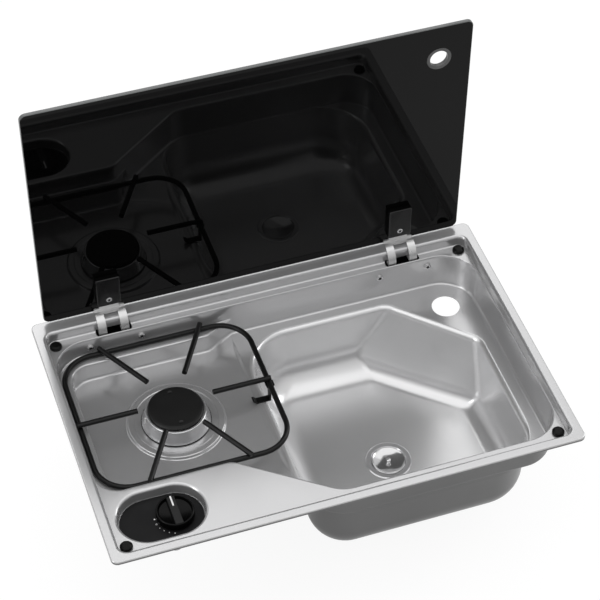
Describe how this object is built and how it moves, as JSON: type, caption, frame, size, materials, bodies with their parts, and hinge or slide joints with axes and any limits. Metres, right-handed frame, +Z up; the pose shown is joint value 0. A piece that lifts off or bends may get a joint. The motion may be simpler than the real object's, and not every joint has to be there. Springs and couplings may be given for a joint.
{
  "type": "hob and sink combination",
  "caption": "Drop-in steel top with a one-burner gas hob, a deep sink bowl and a tap hole, under a dark glass lid that folds up at the back.",
  "frame": {"origin": "middle of the tray in plan, at the level of the flange's top, which is the centre of the worktop cut-out", "axes": "+X to the right (sink side), +Y to the back (lid side), +Z up"},
  "size_m": [0.56, 0.3708, 0.5246],
  "materials": {
    "steel": "satin stainless sheet",
    "steel_bowl": "satin stainless bowl",
    "seal": "black foam strip",
    "bumper": "black rubber",
    "plate_black": "dark grey plate",
    "aluminium": "cast and turned aluminium",
    "skirt": "polished metal",
    "enamel": "matt black enamel",
    "gasket": "black gasket",
    "brass": "turned brass",
    "copper": "copper pipe",
    "zinc": "bright zinc plate",
    "wire": "satin black enamel",
    "glass": "black safety glass",
    "ring": "grey plastic",
    "pad": "soft pad",
    "cover": "glossy black plastic",
    "knob": "glossy black plastic",
    "pointer": "white line",
    "plastic": "black plastic",
    "waste": "polished stainless"
  },
  "bodies": {
    "tray": {"top_pressing": "steel", "knob_recess": "steel", "recess_wall": "steel", "pan_ledge": "steel", "lower_wall": "steel", "hob_floor": "steel", "sink_shelf": "steel", "sink_bowl": "steel_bowl", "bowl_base": "steel_bowl", "flange_seal": "seal", "lid_bumpers": "bumper", "knob_plate": "plate_black", "burner_cup": "aluminium", "burner_skirt": "skirt", "burner_gasket": "gasket", "burner_head": "aluminium", "burner_cap": "enamel", "burner_screws": "zinc", "injector": "brass", "thermocouple": "zinc", "gas_valve": "aluminium", "valve_nut": "zinc", "inlet_pipe": "copper", "burner_pipe": "copper", "pipe_nuts": "brass", "waste_flange": "waste", "waste_gasket": "gasket", "waste_nut": "plastic", "hinge_bracket_left": "enamel", "hinge_bracket_right": "enamel", "hinge_pin_left": "zinc", "hinge_pin_right": "zinc", "bracket_screws": "zinc", "bracket_nuts": "zinc", "pan_frame": "wire", "pan_arms": "wire", "grate_foot": "wire"},
    "lid": {"glass_lid": "glass", "finger_hole_ring": "ring", "hinge_strap_left": "zinc", "hinge_strap_right": "zinc", "hinge_pads": "pad", "hinge_cover_left": "cover", "hinge_cover_right": "cover", "cover_screws": "zinc"},
    "stem_carrier": {"stem_washer": "plastic"},
    "knob": {"knob": "knob", "knob_pointer": "pointer", "knob_bush": "plastic", "valve_stem": "zinc"},
    "plug": {"waste_plug": "waste"}
  },
  "joints": [
    {"name": "lid_hinge", "type": "hinge", "parent": "tray", "child": "lid", "pos_m": [0, 0.1759, -0.0136], "axis": [1, 0, 0], "range_deg": [0, 90]},
    {"name": "knob_push", "type": "slide", "parent": "tray", "child": "stem_carrier", "axis": [0, 0, -1], "range_m": [0, 0.0025], "stiffness_N_per_m": 800},
    {"name": "knob_turn", "type": "hinge", "parent": "stem_carrier", "child": "knob", "pos_m": [-0.19195, -0.12265, -0.02], "axis": [0, 0, 1], "range_deg": [0, 165]},
    {"name": "plug_lift", "type": "slide", "parent": "tray", "child": "plug", "axis": [0, 0, 1], "range_m": [0, 0.02]}
  ]
}
